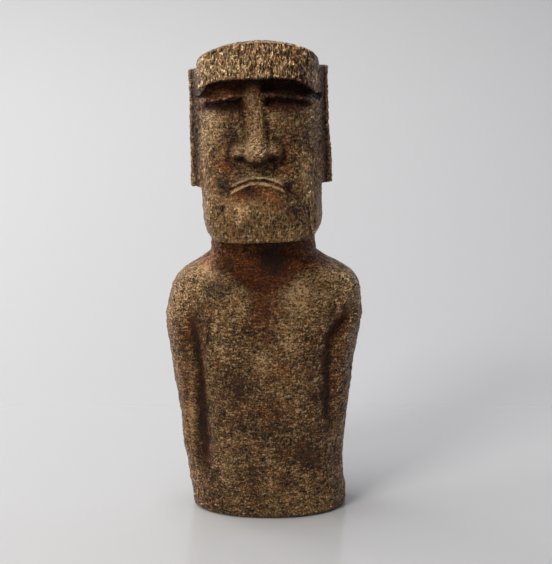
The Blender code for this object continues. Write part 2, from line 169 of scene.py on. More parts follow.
# Distance between neighbouring points of the surface: round the figure, and up its torso, head and crown
FACE_COLUMNS = 62
BACK_COLUMNS = 20
EAR_SPACING = 1.6 * MM
TORSO_SPACING = 2.05 * MM
HEAD_SPACING = 1.25 * MM
CROWN_SPACING = 2.3 * MM

# Rings on the underside, as shares of its edge, and the places along the torso's sections over which the
# collar's glaze comes up
UNDERSIDE_RINGS = (0.02, 0.35, 0.6, 0.8, 0.92)
COLLAR_START = 14.4
COLLAR_FULL = 16.6

# Pale floor: how far it reaches to the front and to each side, where it starts to curve up, the strips of
# that curve and its height behind the figure
FLOOR_FRONT = -1.6
FLOOR_SIDE = 2.4
FLOOR_BEND = 0.45
FLOOR_STRIPS = 24
FLOOR_STRIP = 0.042
FLOOR_TOP = 2.6

# Camera: where it stands, how many degrees it looks down, and its focal length and the picture's height in
# pixels
CAMERA_PLACE = (0.00998, -0.92968, 0.380)
CAMERA_DOWN = 11.54
FOCAL_PIXELS = 1180
PICTURE_HEIGHT = 564

HEAD_HEIGHT = HEIGHT - CHIN_HEIGHT
HEAD_HALF_WIDTH = HEAD_WIDTH / 2
EAR_FOOT = EAR_FOOT_HEIGHT - CHIN_HEIGHT
EAR_TOP = EAR_FOOT + EAR_LENGTH

# Heights on the face above the chin, as shares of the head's height
BROW_EDGE = 0.818 * HEAD_HEIGHT
LID = 0.742 * HEAD_HEIGHT
EYE_HOLLOW = 0.706 * HEAD_HEIGHT
TIP_TOP = 0.602 * HEAD_HEIGHT
CHEEK = 0.560 * HEAD_HEIGHT
TIP = 0.463 * HEAD_HEIGHT
TIP_UNDER = 0.432 * HEAD_HEIGHT
NOSE_FOOT = 0.380 * HEAD_HEIGHT
MOUTH = 0.320 * HEAD_HEIGHT
CHIN_TOP = 0.205 * HEAD_HEIGHT

# Outline across the ear: distance behind its front edge, and how far it stands off the head as a share
# of the ear's stand or, in front of the ear, of the groove's depth; then 1 where it is recessed
EAR_OUTLINE = (
    (-EAR_GROOVE_BREADTH, 0.0, 0),
    (-0.60 * EAR_GROOVE_BREADTH, -0.50, 0),
    (-0.25 * EAR_GROOVE_BREADTH, -1.0, 0),
    (-EAR_STEP, -0.90, 0),
    (0.0, 0.80, 0),
    (EAR_EDGE_ROUND, 1.0, 0),
    (EAR_RIM, 1.0, 0),
    (EAR_RIM + 2 * MM, 1.0, 1),
    (EAR_BREADTH - EAR_RIM, 1.0, 1),
    (EAR_BREADTH - 0.5 * EAR_RIM, 1.0, 0),
    (EAR_BREADTH, 0.80, 0),
    (EAR_BREADTH + EAR_STEP, 0.0, 0),
)

# A ring round the torso or neck: shift is how far its middle stands to the side, sag how far its front dips
Section = namedtuple("Section", "height half_width shift front back power sag")

# A ring round the head. Its height above the chin runs from middle, at the middle of the face, to side,
# at the ears and the back, and between them it follows shares of the mouth's and the brow's droop. brow is
# 1 on the overhanging band, ear is 1 where the ears stand out, size is its share of the head's full width.
Course = namedtuple("Course", "middle side mouth_line brow_line brow ear size")

# How a point of the surface is worked and painted: strokes is 1 where the tool left upright strokes, glaze
# is 1 where the dark red glaze pools, the near-black layer is 1 where near black is painted, mostly as
# painted shade in recesses, under the brow and the nose and in the arm grooves, and partly as the neck's own
# dark paint, the rubbed layer is 1 where the bronze is rubbed on thickest, in places also a painted highlight
# on lit tops and edges, and calm is 1 where the grain is smoothed away
Finish = namedtuple("Finish", "strokes glaze wash rubbed calm")
PAINTED = ("strokes", "glaze", "wash", "rubbed")


def mix(start, end, share):
    return start + (end - start) * share


def smooth(share):
    """Eases from 0 to 1 as share does, and stays there."""
    share = min(max(share, 0.0), 1.0)
    return share * share * (3 - 2 * share)


def hump(distance, reach):
    """1 at no distance, falling away softly over the reach."""
    return math.exp(-((distance / reach) ** 2))


def slab(distance, reach, edge):
    """1 within the reach, easing to 0 over the edge's width beyond it."""
    return 1 - smooth((abs(distance) - reach) / edge)


def grain(point, across, up=None, seed=0.0):
    """Noise from -1 to 1 in lumps of that size across, and of that size upwards where it differs."""
    up = up or across
    return noise.noise(Vector((point.x / across + seed, point.y / across - seed, point.z / up + 2 * seed)))


def torso_sections():
    """Rings from the underside to the top of the neck."""
    half_base = BASE_WIDTH / 2
    sections = []
    for height, inset in ((0.0, 0.8), (0.3, 0.25), (1.0, 0.0)):
        edge = inset * BASE_ROUND
        front, back = BASE_FRONT - edge, BASE_BACK - edge
        sections.append(Section(height * BASE_ROUND, half_base - edge, 0.0, front, back, 2.1, 0.0))
    # Share of the way up to the shoulders: share of the widening, of the drift sideways, of the deepening
    flank = (
        (0.08, 0.01, 0.10, 0.04),
        (0.18, 0.02, 0.58, 0.15),
        (0.31, 0.10, 0.75, 0.32),
        (0.445, 0.18, 0.82, 0.50),
        (0.586, 0.38, 0.95, 0.66),
        (0.73, 0.59, 1.00, 0.82),
        (0.865, 0.80, 0.96, 0.95),
        (1.0, 1.00, 0.92, 1.00),
    )
    for share, wider, drift, deeper in flank:
        half_width = mix(BASE_WIDTH, SHOULDER_WIDTH, wider) / 2
        front, back = mix(BASE_FRONT, CHEST_FRONT, deeper), mix(BASE_BACK, CHEST_BACK, deeper)
        height, shift, power = share * SHOULDER_HEIGHT, drift * TORSO_SHIFT, mix(2.1, 2.4, smooth(2 * share))
        sections.append(Section(height, half_width, shift, front, back, power, 0.0))
    # Share of the way from the shoulders to the neck: share of the width and of the depth still left,
    # of the drift sideways and of the collar's sag
    slope = (
        (0.22, 0.972, 0.94, 0.70, 0.16),
        (0.39, 0.935, 0.84, 0.54, 0.34),
        (0.54, 0.860, 0.71, 0.46, 0.50),
        (0.67, 0.725, 0.56, 0.48, 0.65),
        (0.78, 0.480, 0.40, 0.62, 0.78),
        (0.87, 0.250, 0.22, 0.74, 0.88),
        (0.935, 0.105, 0.08, 0.84, 0.97),
        (1.0, 0.025, 0.01, 0.90, 1.00),
    )
    for share, width_left, depth_left, drift, sag in slope:
        height = mix(SHOULDER_HEIGHT, NECK_FOOT_HEIGHT, share)
        half_width = mix(NECK_WIDTH, SHOULDER_WIDTH, width_left) / 2
        front, back = mix(NECK_FRONT, CHEST_FRONT, depth_left), mix(NECK_BACK, CHEST_BACK, depth_left)
        shift, dip = drift * TORSO_SHIFT, sag * COLLAR_SAG
        sections.append(Section(height, half_width, shift, front, back, 2.4, dip))
    neck_top = CHIN_HEIGHT + JAW_UNDERCUT
    sections.append(Section(neck_top, NECK_WIDTH / 2, HEAD_SHIFT, NECK_FRONT, NECK_BACK, 2.4, 0.0))
    return sections


def head_courses():
    """Rings from the underside of the jaw to just below the edge of the crown."""
    return [
        Course(0.4 * MM, 2.2 * MM, 0, 0, 0, 0, 0.895),
        Course(0.6 * MM, 2.6 * MM, 0, 0, 0, 0, 0.915),
        Course(3.0 * MM, 6.2 * MM, 0, 0, 0, 0, 0.960),
        Course(7.5 * MM, 10.8 * MM, 0, 0, 0, 0, 0.990),
        Course(0.45 * CHIN_TOP, 16.0 * MM, 0.00, 0, 0, 0, 1.0),
        Course(0.66 * CHIN_TOP, 21.0 * MM, 0.10, 0, 0, 0, 1.0),
        Course(0.86 * CHIN_TOP, 26.0 * MM, 0.25, 0, 0, 0, 1.0),
        Course(1.05 * CHIN_TOP, 30.5 * MM, 0.45, 0, 0, 0, 1.0),
        Course(MOUTH - 10.4 * MM, 34.5 * MM, 0.70, 0, 0, 0, 1.0),
        Course(MOUTH - 6.0 * MM, EAR_FOOT - 4.2 * MM, 0.90, 0, 0, 0, 1.0),
        Course(MOUTH - 2.9 * MM, EAR_FOOT - 1.8 * MM, 1.00, 0, 0, 0, 1.0),
        Course(MOUTH, EAR_FOOT - 0.6 * MM, 1.00, 0, 0, 0, 1.0),
        Course(MOUTH + 2.8 * MM, EAR_FOOT, 1.00, 0, 0, 1, 1.0),
        Course(MOUTH + 5.4 * MM, EAR_FOOT + 2.6 * MM, 0.90, 0, 0, 1, 1.0),
        Course(NOSE_FOOT, EAR_FOOT + 6.0 * MM, 0.72, 0, 0, 1, 1.0),
        Course(mix(NOSE_FOOT, TIP, 0.22), EAR_FOOT + 9.4 * MM, 0.60, 0, 0, 1, 1.0),
        Course(mix(NOSE_FOOT, TIP, 0.43), EAR_FOOT + 12.9 * MM, 0.48, 0, 0, 1, 1.0),
        Course(mix(NOSE_FOOT, TIP, 0.63), EAR_FOOT + 16.4 * MM, 0.38, 0, 0, 1, 1.0),
        Course(mix(NOSE_FOOT, TIP, 0.82), EAR_FOOT + 20.0 * MM, 0.28, 0, 0, 1, 1.0),
        Course(TIP, EAR_FOOT + 23.7 * MM, 0.20, 0, 0, 1, 1.0),
        Course(mix(TIP, TIP_TOP, 0.16), EAR_FOOT + 27.6 * MM, 0.12, 0, 0, 1, 1.0),
        Course(mix(TIP, TIP_TOP, 0.34), EAR_FOOT + 31.6 * MM, 0.06, 0, 0, 1, 1.0),
        Course(mix(TIP, TIP_TOP, 0.54), EAR_FOOT + 35.8 * MM, 0.0, 0.00, 0, 1, 1.0),
        Course(mix(TIP, TIP_TOP, 0.76), EAR_FOOT + 40.2 * MM, 0.0, 0.04, 0, 1, 1.0),
        Course(TIP_TOP, EAR_FOOT + 44.8 * MM, 0.0, 0.10, 0, 1, 1.0),
        Course(mix(TIP_TOP, EYE_HOLLOW, 0.36), EAR_FOOT + 49.4 * MM, 0.0, 0.20, 0, 1, 1.0),
        Course(mix(TIP_TOP, EYE_HOLLOW, 0.70), EAR_FOOT + 54.0 * MM, 0.0, 0.32, 0, 1, 1.0),
        Course(EYE_HOLLOW, EAR_FOOT + 58.4 * MM, 0.0, 0.45, 0, 1, 1.0),
        Course(mix(EYE_HOLLOW, LID, 0.55), EAR_FOOT + 62.4 * MM, 0.0, 0.56, 0, 1, 1.0),
        Course(LID, EAR_FOOT + 65.4 * MM, 0.0, 0.66, 0, 1, 1.0),
        Course(mix(LID, BROW_EDGE, 0.30), EAR_FOOT + 67.8 * MM, 0.0, 0.80, 0, 1, 1.0),
        Course(BROW_EDGE + 0.5 * MM, EAR_FOOT + 69.8 * MM, 0.0, 1.0, 0, 1, 1.0),
        Course(BROW_EDGE - 0.2 * MM, EAR_FOOT + 70.8 * MM, 0.0, 1.0, 1, 1, 1.0),
        Course(BROW_EDGE + 2.2 * MM, EAR_FOOT + 73.6 * MM, 0.0, 0.94, 1, 1, 1.0),
        Course(BROW_EDGE + 7.0 * MM, EAR_FOOT + 78.6 * MM, 0.0, 0.80, 1, 1, 1.0),
        Course(BROW_EDGE + 12.4 * MM, EAR_FOOT + 84.2 * MM, 0.0, 0.62, 1, 1, 1.0),
        Course(BROW_EDGE + 17.4 * MM, EAR_TOP - 1.2 * MM, 0.0, 0.50, 1, 1, 1.0),
        Course(BROW_EDGE + 20.6 * MM, EAR_TOP, 0.0, 0.44, 1, 0, 1.0),
    ]


def between(stations, place):
    """The ring at a place between the stations, along curves through all of them that never overshoot."""
    i = min(int(place), len(stations) - 2)
    share = place - i

    def slope(values, k):
        before = values[k] - values[k - 1] if k > 0 else values[1] - values[0]
        after = values[k + 1] - values[k] if k + 1 < len(values) else before
        return 2 * before * after / (before + after) if before * after > 0 else 0.0

    fields = []
    for values in zip(*stations):
        start, end = values[i], values[i + 1]
        bend = share * (1 - share) * (
            (1 - share) * (slope(values, i) - end + start) - share * (slope(values, i + 1) - end + start)
        )
        fields.append(mix(start, end, share) + bend)
    return type(stations[0])(*fields)


def mouth_sink(x):
    """How far the line of the mouth lies below its middle."""
    return MOUTH_DROOP * (1 - math.cos(min(abs(x) / MOUTH_HALF_WIDTH, 1.0) * math.pi / 2))


def wander(x, waves):
    """How far a hand-cut line strays up or down at a place across."""
    return sum(rise * MM * noise.noise(Vector((x / (length * MM), seed, 0))) for rise, length, seed in waves)


def brow_sink(x):
    """How far the brow's lower edge lies below its middle: nearly level, but drooping at both ends."""
    return BROW_DROOP * min(abs(x) / HEAD_HALF_WIDTH, 1.0) ** 4.5 + wander(x, BROW_WAVES)


def lid_sink(x):
    """How far the line of the lids lies below its middle."""
    return LID_DROOP * (abs(x) / HEAD_HALF_WIDTH) ** 2 * 2


def facing(y):
    """1 on the front of the head, easing to 0 at its sides."""
    return smooth((-y / FACE_FRONT - 0.34) / 0.28)


def head_back(h):
    """How far back the head reaches: less at the jaw, and leaning in towards the crown."""
    at_jaw = JAW_SET_BACK * (1 - smooth(h / (0.3 * HEAD_HEIGHT)))
    return HEAD_BACK - at_jaw - HEAD_BACK_LEAN * smooth((h / HEAD_HEIGHT - 0.35) / 0.8)


def crown_height(x, y):
    """Height of the crown above the chin: the vault, rounded over at the front and more at the back."""
    share = min(abs(x) / HEAD_HALF_WIDTH, 1.0)
    vault = VAULT_DROP * (1 - (1 - share**1.9) ** (1 / 1.9))
    reach, edge = (FACE_FRONT, CROWN_FRONT_ROUND) if y < 0 else (head_back(HEAD_HEIGHT), CROWN_BACK_ROUND)
    share = min(abs(y) / reach, 1.0)
    return HEAD_HEIGHT - vault - edge * (1 - (1 - share**5) ** 0.5)


def outline_point(angle, half_width, front, back, power):
    """Point of a rounded-square outline. Angle 0 is at the front, and it turns towards +X."""
    across, ahead = math.sin(angle), math.cos(angle)
    depth = front if ahead > 0 else back
    reach = (abs(across / half_width) ** power + abs(ahead / depth) ** power) ** (-1 / power)
    return Vector((reach * across, -reach * ahead, 0))


def outline_normal(point, half_width, front, back, power):
    """Level direction that points straight out of that outline."""
    depth = front if point.y < 0 else back
    across = math.copysign(abs(point.x / half_width) ** (power - 1) / half_width, point.x)
    along = math.copysign(abs(point.y / depth) ** (power - 1) / depth, point.y)
    return Vector((across, along, 0)).normalized()


def head_outline(angle, h, size):
    """Point of the head's plain outline at a height above the chin, rounder at the jaw."""
    inset = HEAD_HALF_WIDTH * (1 - size)
    front, back = FACE_FRONT - 0.5 * inset, head_back(h) - 0.5 * inset
    power = mix(2.5, 3.1, smooth(h / (0.35 * HEAD_HEIGHT)))
    return outline_point(angle, HEAD_HALF_WIDTH - inset, front, back, power)


def column_angles():
    """Angles of all columns from the front round to the front, close together on the face."""
    half = []
    ear = []
    for (start, low, _), (end, high, _) in zip(EAR_OUTLINE, EAR_OUTLINE[1:]):
        count = math.ceil(math.hypot(end - start, (high - low) * EAR_STAND) / EAR_SPACING)
        ear += [mix(start, end, i / count) for i in range(count)]
    ear = [math.atan2(HEAD_HALF_WIDTH, -(EAR_FRONT + place)) for place in ear + [EAR_OUTLINE[-1][0]]]
    for i in range(1, FACE_COLUMNS):
        share = i / FACE_COLUMNS
        half.append(ear[0] * (0.86 * share + 0.14 * share**3))
    half += ear
    for i in range(1, BACK_COLUMNS + 1):
        half.append(mix(ear[-1], math.pi, i / (BACK_COLUMNS + 1)))
    return [0.0] + half + [math.pi] + [-angle for angle in reversed(half)]


def eye_relief(x, h):
    """Socket under the brow, the lid's broken ridge along its lower edge and the hollow under the lid."""
    h += lid_sink(x)
    beside_nose = smooth((abs(x) - 0.7 * BRIDGE_HALF_WIDTH) / (5 * MM))
    length = slab(abs(x) - EYE_OFFSET, EYE_HALF_LENGTH - 3 * MM, 8 * MM)
    broken = wander(x, LID_WAVES)
    lid = LID_RISE * hump(h - LID - 0.6 * MM + broken, LID_HALF_HEIGHT) * length
    hollow = EYE_HOLLOW_DEPTH * hump(h - EYE_HOLLOW + 0.5 * broken, EYE_HOLLOW_HALF_HEIGHT) * length
    shallower = LEFT_SOCKET_SHALLOWER * smooth((-x - 4 * MM) / (6 * MM))
    socket = SOCKET_DEPTH * (1 - shallower) * smooth((h - LID + 1.5 * MM) / (4.5 * MM))
    return beside_nose * (lid - hollow - socket)


def nostril_hole(x, h):
    """1 in the middle of a nostril, under the wing of the nose, easing to 0 round it."""
    return hump(math.hypot((abs(x) - WING_OFFSET) / 1.6, h - TIP + 5.6 * MM), NOSTRIL_RADIUS)


def from_wing(x, h):
    """Distance from the middle of the nearer wing of the nose, counted a little less upwards."""
    return math.hypot(abs(x) - WING_OFFSET, 0.80 * (h - TIP + 1 * MM))


def nose_relief(x, h):
    """Narrow bridge that swells into a broad tip with a wing on each side, over a short underside."""
    up = min(max((h - TIP) / (BROW_EDGE - TIP), 0.0), 1.0)
    swell = (1 - up) ** 2.1
    half_width = mix(BRIDGE_HALF_WIDTH, TIP_HALF_WIDTH, swell)
    under = smooth((h - NOSE_FOOT) / (TIP_UNDER - NOSE_FOOT))
    ridge = mix(BRIDGE_RISE, TIP_RISE, swell) * under * math.exp(-abs(x / (1.18 * half_width)) ** 2.8)
    under_wing = smooth((h - NOSE_FOOT - 3 * MM) / (TIP_UNDER - NOSE_FOOT))
    wing = WING_RISE * math.exp(-((from_wing(x, h) / WING_RADIUS) ** 2.2)) * under_wing**0.6
    nostril = NOSTRIL_DEPTH * nostril_hole(x, h)
    crease = NOSE_CREASE_DEPTH * hump(from_wing(x, h) - 1.22 * WING_RADIUS, 1.3 * MM)
    crease *= smooth((abs(x) - WING_OFFSET) / (4 * MM))
    return (ridge**3.5 + wing**3.5) ** (1 / 3.5) - nostril - crease


def mouth_relief(x, h):
    """Turned-down mouth on a low muzzle: two thin lips, the slit between them and a hollow below."""
    line = h - MOUTH + mouth_sink(x)
    within = slab(x, 0.80 * MOUTH_HALF_WIDTH, 0.30 * MOUTH_HALF_WIDTH)
    muzzle = MUZZLE_RISE * hump(x, MUZZLE_HALF_WIDTH) * hump(h - MOUTH + 1 * MM, MUZZLE_HALF_HEIGHT)
    lips = LIP_RISE * (hump(line - UPPER_LIP, 1.7 * MM) + 1.2 * hump(line + LOWER_LIP, 1.9 * MM))
    slit = 0.6 * MOUTH_SLIT_DEPTH * hump(line, 0.6 * MM)
    corner = MOUTH_CORNER_DEPTH * hump(abs(x) - MOUTH_HALF_WIDTH, 4.5 * MM) * hump(line - 1 * MM, 4.5 * MM)
    hollow = LIP_HOLLOW_DEPTH * hump(line + LIP_HOLLOW, 4.4 * MM) * hump(x, 18 * MM)
    return muzzle + within * (lips - slit) - corner - hollow


def face_relief(x, h):
    """How far the face below the brow stands forward, x to the side and h above the chin."""
    cheek = CHEEK_RISE * hump(h - CHEEK, 27 * MM) * hump(abs(x) - CHEEK_OFFSET, 16 * MM)
    chin = CHIN_RISE * (1 - smooth((h - 0.35 * CHIN_TOP) / (1.15 * CHIN_TOP)))
    return cheek + chin + nose_relief(x, h) + mouth_relief(x, h) + eye_relief(x, h)


def brow_relief(x, h):
    """How far the band over the eyes stands forward of the plain outline."""
    above = h - BROW_EDGE + brow_sink(x)
    return BROW_OVERHANG - BROW_TOP_SET_BACK * smooth(above / (HEAD_HEIGHT - BROW_EDGE))


def ear_relief(angle, h, ear):
    """How far the side of the head stands out in this direction, with the groove before each ear."""
    if abs(math.sin(angle)) < 0.5:
        return 0.0
    place = -HEAD_HALF_WIDTH * math.cos(angle) / abs(math.sin(angle)) - EAR_FRONT
    along = min(max((h - EAR_FOOT) / EAR_LENGTH, 0.0), 1.0)
    stand = EAR_STAND + EAR_TAPER * (0.5 - along)
    recess = EAR_RECESS * slab(along - 0.58, 0.32, 0.08)
    for (start, low, hollow), (end, high, next_hollow) in zip(EAR_OUTLINE, EAR_OUTLINE[1:]):
        if start - 1e-6 <= place <= end + 1e-6:
            share = (place - start) / (end - start)
            level = mix(low, high, share)
            depth = EAR_GROOVE_DEPTH if level < 0 else stand
            return ear * (level * depth - recess * mix(hollow, next_hollow, share))
    return 0.0


def eye_paint(x, h, above, band):
    """Painted shade round an eye, under the brow, over the lid and in the hollow below it, the glaze there,
    and from 0 to 1 how far the point lies under the brow.
    """
    lid_line = h - LID + lid_sink(x)
    lid = hump(lid_line, 1.6 * MM) * slab(abs(x) - EYE_OFFSET, 12 * MM, 6 * MM)
    beside_bridge = smooth((abs(x) - 0.8 * BRIDGE_HALF_WIDTH) / (4 * MM))
    # How far down the brow's painted shadow reaches, less on the left
    shade = mix(1.4 * MM, 3.4 * MM, smooth((x + 10 * MM) / (14 * MM)))
    under_brow = (1 - smooth((-above - shade) / (2.5 * MM))) * (1 - band)
    over_lid = smooth((lid_line - 0.8 * MM) / (1.5 * MM)) * (1 - band)
    ragged = 2.2 * MM * grain(Vector((x, 0, h)), 4 * MM, seed=2.2)
    below_lid = hump(h - EYE_HOLLOW + 1.2 * MM + ragged, 5.5 * MM)
    below_lid *= slab(abs(x) - EYE_OFFSET, 12 * MM, 9 * MM)
    wash = max(under_brow, 0.35 * over_lid, 0.8 * below_lid * (1 - lid)) * beside_bridge
    return wash, max(0.55 * lid, over_lid, 0.8 * below_lid), under_brow


def nose_paint(x, h):
    """Painted shade in the nostrils, under the nose and in the creases round its wings and bridge, the glaze,
    rubbed bronze that also paints highlights on the tip and the tops of the wings, and how far the point lies
    on it and under it.
    """
    on_nose = smooth(nose_relief(x, h) / (9 * MM)) * smooth((h - TIP_UNDER + 1 * MM) / (4 * MM))
    foot = TIP_UNDER - mix(4.8 * MM, 1.6 * MM, smooth(abs(x) / (11 * MM)))
    under_nose = hump(h - foot, 2.4 * MM) * slab(x, 14 * MM, 5 * MM)
    beside_nose = hump(abs(x) - 22 * MM, 6 * MM) * slab(h - TIP + 4 * MM, 8 * MM, 10 * MM)
    round_wing = hump(from_wing(x, h) - 1.25 * WING_RADIUS, 1.5 * MM)
    round_wing *= smooth((abs(x) - WING_OFFSET + 3 * MM) / (4 * MM))
    beside_ridge = hump(abs(x) - 1.7 * BRIDGE_HALF_WIDTH, 2.2 * MM)
    beside_ridge *= slab(h - TIP_TOP - 4 * MM, 10 * MM, 12 * MM)
    # Painted shade in the nostrils, under the nose and in the creases round the wings and beside the bridge
    wash = max(nostril_hole(x, h), under_nose, 0.6 * round_wing, 0.35 * beside_ridge)
    on_tip = on_nose * (1 - smooth((h - TIP - 10 * MM) / (16 * MM)))
    on_tip *= 1 - smooth((abs(x) - 6 * MM) / (5 * MM))
    # Painted highlights on the tip and on the tops of the wings, over the rubbed bronze
    rubbed = max(0.6 * on_tip, 0.55 * hump(from_wing(x, h), 0.75 * WING_RADIUS), 0.2 * on_nose)
    return wash, max(0.8 * under_nose, 0.55 * beside_nose), rubbed, on_nose, under_nose


def mouth_paint(x, h):
    """Painted shade in the slit and the corners of the mouth, glaze below the lip, rubbed bronze on the lips,
    and how far its grain is smoothed away.
    """
    line = h - MOUTH + mouth_sink(x)
    corner = hump(abs(x) - MOUTH_HALF_WIDTH, 5 * MM) * hump(line, 5 * MM)
    below_lip = hump(line + LIP_HOLLOW, 5.5 * MM) * slab(x, 9 * MM, 12 * MM)
    slit = hump(line, 1.0 * MM) * slab(x, 0.9 * MOUTH_HALF_WIDTH, 4 * MM)
    lips = hump(line - UPPER_LIP, 1.4 * MM) + 1.2 * hump(line + LOWER_LIP + 0.1 * MM, 1.5 * MM)
    calm = 0.8 * hump(line, 3.2 * MM) * slab(x, MOUTH_HALF_WIDTH, 4 * MM)
    return max(0.3 * slit, 0.5 * corner), 0.75 * below_lip, lips * slab(x, 17 * MM, 8 * MM), calm


def face_finish(x, h, front, brow):
    """How the head is worked and painted at a point x to the side and h above the chin."""
    above = h - BROW_EDGE + brow_sink(x)
    band = smooth(above / (1.5 * MM)) * brow
    edge = hump(above - 1.5 * MM, 2.5 * MM) * brow
    chin = 1 - smooth((h - 0.9 * CHIN_TOP) / (0.9 * CHIN_TOP))
    temple = smooth((abs(x) - 30 * MM) / (8 * MM)) * (1 - smooth((h - NOSE_FOOT) / (20 * MM)))
    strokes = max(band, 0.5 * chin, 0.6 * temple) * front + 0.3 * (1 - front)
    eye_shade, eye_glaze, under_brow = eye_paint(x, h, above, band)
    nose_shade, nose_glaze, nose_rubbed_and_lit, on_nose, under_nose = nose_paint(x, h)
    mouth_shade, mouth_glaze, lips, mouth_calm = mouth_paint(x, h)
    # Painted shade in the face's recesses, and under the ends of the brow where they meet the sides of the
    # head
    wash = max(eye_shade, nose_shade, mouth_shade) * front
    wash = max(wash, under_brow * slab(above, 3 * MM, 3 * MM) * smooth(8 * front))
    glaze = max(eye_glaze, nose_glaze, mouth_glaze) * (1 - 0.6 * on_nose)
    # Bronze rubbed on the lips, nose and brow band, in places as painted highlight on lit tops and on the
    # band that faces up, and a share of it over the whole head, which the torso lacks, so the head is painted
    # lighter
    rubbed = max(lips, nose_rubbed_and_lit, 0.6 * edge, 0.4 * band, 0.3)
    calm = max(mouth_calm, 0.5 * under_nose, 0.6 * (1 - smooth((h - 1 * MM) / (5 * MM))))
    return Finish(strokes, glaze * front, wash, rubbed * front, calm * front)


def head_point(angle, course):
    """Point of a ring round the head, before the head's shift and tilt, and its finish."""
    plan = head_outline(angle, course.side, course.size)
    front = facing(plan.y)
    at_side = 1 - front * (1 - smooth((abs(plan.x) - 0.80 * HEAD_HALF_WIDTH) / (0.19 * HEAD_HALF_WIDTH)))
    x = plan.x - FACE_SHIFT
    on_face = course.middle - course.mouth_line * mouth_sink(x) - course.brow_line * brow_sink(x)
    h = mix(on_face, course.side, at_side)
    forward = 0.0
    if front > 0:
        forward = mix(face_relief(x, h), brow_relief(x, h), course.brow)
    outward = ear_relief(angle, h, course.ear)
    # Painted shade, with glaze, in the gap before each ear and round the ear's slab, where it stands off the
    # head
    in_gap = slab(plan.y - EAR_FRONT + 6 * MM, 8 * MM, 3 * MM) * (1 - smooth((outward - 3 * MM) / (2 * MM)))
    in_gap *= smooth((abs(plan.x) - 0.97 * HEAD_HALF_WIDTH) / (0.02 * HEAD_HALF_WIDTH)) * course.ear
    on_rim = smooth((outward - 3.5 * MM) / (2 * MM))
    by_ear = course.ear * (1 - front) * (1 - on_rim) * slab(plan.y, 16 * MM, 7 * MM)
    finish = face_finish(x, h, front, course.brow)
    finish = finish._replace(
        glaze=max(finish.glaze, in_gap, 0.4 * by_ear),
        wash=max(finish.wash, 0.85 * in_gap, 0.3 * by_ear),
        rubbed=max(finish.rubbed, 0.15 * on_rim),
    )
    return Vector((plan.x + math.copysign(outward, plan.x), plan.y - forward * front, h)), finish


def crown_point(angle, size):
    """Point of a ring on the crown, before the head's shift and tilt, and its finish. Size 1 is its edge."""
    rim = head_outline(angle, HEAD_HEIGHT, 1.0)
    h = crown_height(rim.x * size, rim.y * size)
    forward = brow_relief(rim.x - FACE_SHIFT, h) * facing(rim.y)
    at_edge = facing(rim.y) * smooth((size - 0.7) / 0.25)
    finish = Finish(mix(0.3, 1.0, at_edge), 0.2, mix(0.3, 0.0, at_edge), 0.5 * at_edge, 0.0)
    return Vector((rim.x * size, (rim.y - forward) * size, h)), finish


def place_head(point):
    """Moves a point of the head from its own axes to the figure's, shifted and tilted about the chin."""
    turned = Matrix.Rotation(HEAD_TILT, 3, "Y") @ point
    return turned + Vector((HEAD_SHIFT, 0, CHIN_HEIGHT))


def arm_groove(z, side):
    """Distance from the middle at which the groove beside an arm runs, and its depth there from 0 to 1."""
    share = z / SHOULDER_HEIGHT
    if side < 0:
        spread = mix(LEFT_GROOVE_OFFSET, LEFT_ARMPIT_OFFSET, smooth((share - 0.60) / 0.50))
        depth = smooth((share - 0.18) / 0.20) * (1 - smooth((share - 0.86) / 0.24))
    else:
        spread = mix(RIGHT_GROOVE_OFFSET, RIGHT_ARMPIT_OFFSET, smooth((share - 0.90) / 0.16))
        depth = 0.70 * smooth((share - 0.36) / 0.24) * (1 - smooth((share - 0.98) / 0.12))
    return spread, depth


def arm_relief(x, z):
    """The arm's swell and its groove, steep beside the arm and easing out towards the torso."""
    spread, depth = arm_groove(z, x)
    beyond = abs(x) - spread
    breadth = ARM_GROOVE_BREADTH if beyond > 0 else 2.4 * ARM_GROOVE_BREADTH
    swell = ARM_SWELL * hump(beyond - ARM_SWELL_OFFSET, ARM_SWELL_REACH)
    return depth * (swell - ARM_GROOVE_DEPTH * hump(beyond, breadth))


def torso_finish(x, z, height, in_front, above_collar):
    """How the torso or neck is painted at a point x to the side and z up, on the ring of that height, with
    painted shadow under the chin and in the arm grooves and painted light on the tops of the shoulders.
    """
    spread, depth = arm_groove(height, x)
    in_groove = depth * hump(abs(x) - spread + 3.5 * MM, 3.6 * MM)
    sternum = 0.38 * hump(x, 11 * MM) * hump(z - STERNUM_HEIGHT, 22 * MM) * in_front
    shoulder = hump(height - SLOPE_HEIGHT, 22 * MM) * (1 - above_collar)
    glaze = max(above_collar, 0.8 * in_groove, sternum)
    side = smooth((abs(x) - 22 * MM) / (12 * MM))
    # Painted shadow on the neck under the chin and in the arm grooves, over the neck's and the sternum's own
    # dark paint
    under_chin = hump(z - THROAT_HEIGHT, 11 * MM) * hump(x - 4 * MM, 15 * MM) * in_front
    wash = max(above_collar * mix(0.16, 0.62, under_chin), 0.85 * in_groove, 0.5 * sternum)
    # Bronze rubbed on the left of the neck, in part a painted highlight there, and on the tops of the
    # shoulders as painted light from above
    worn_and_lit = 0.6 * hump(x + 13 * MM, 14 * MM) * hump(z - THROAT_HEIGHT, 13 * MM) * in_front
    rubbed = max(0.25 * shoulder, worn_and_lit) * (1 - glaze * (1 - worn_and_lit))
    glaze *= 1 - 0.3 * side * above_collar
    return Finish(0.0, glaze, wash * (1 - worn_and_lit), rubbed, 0.1 * above_collar)


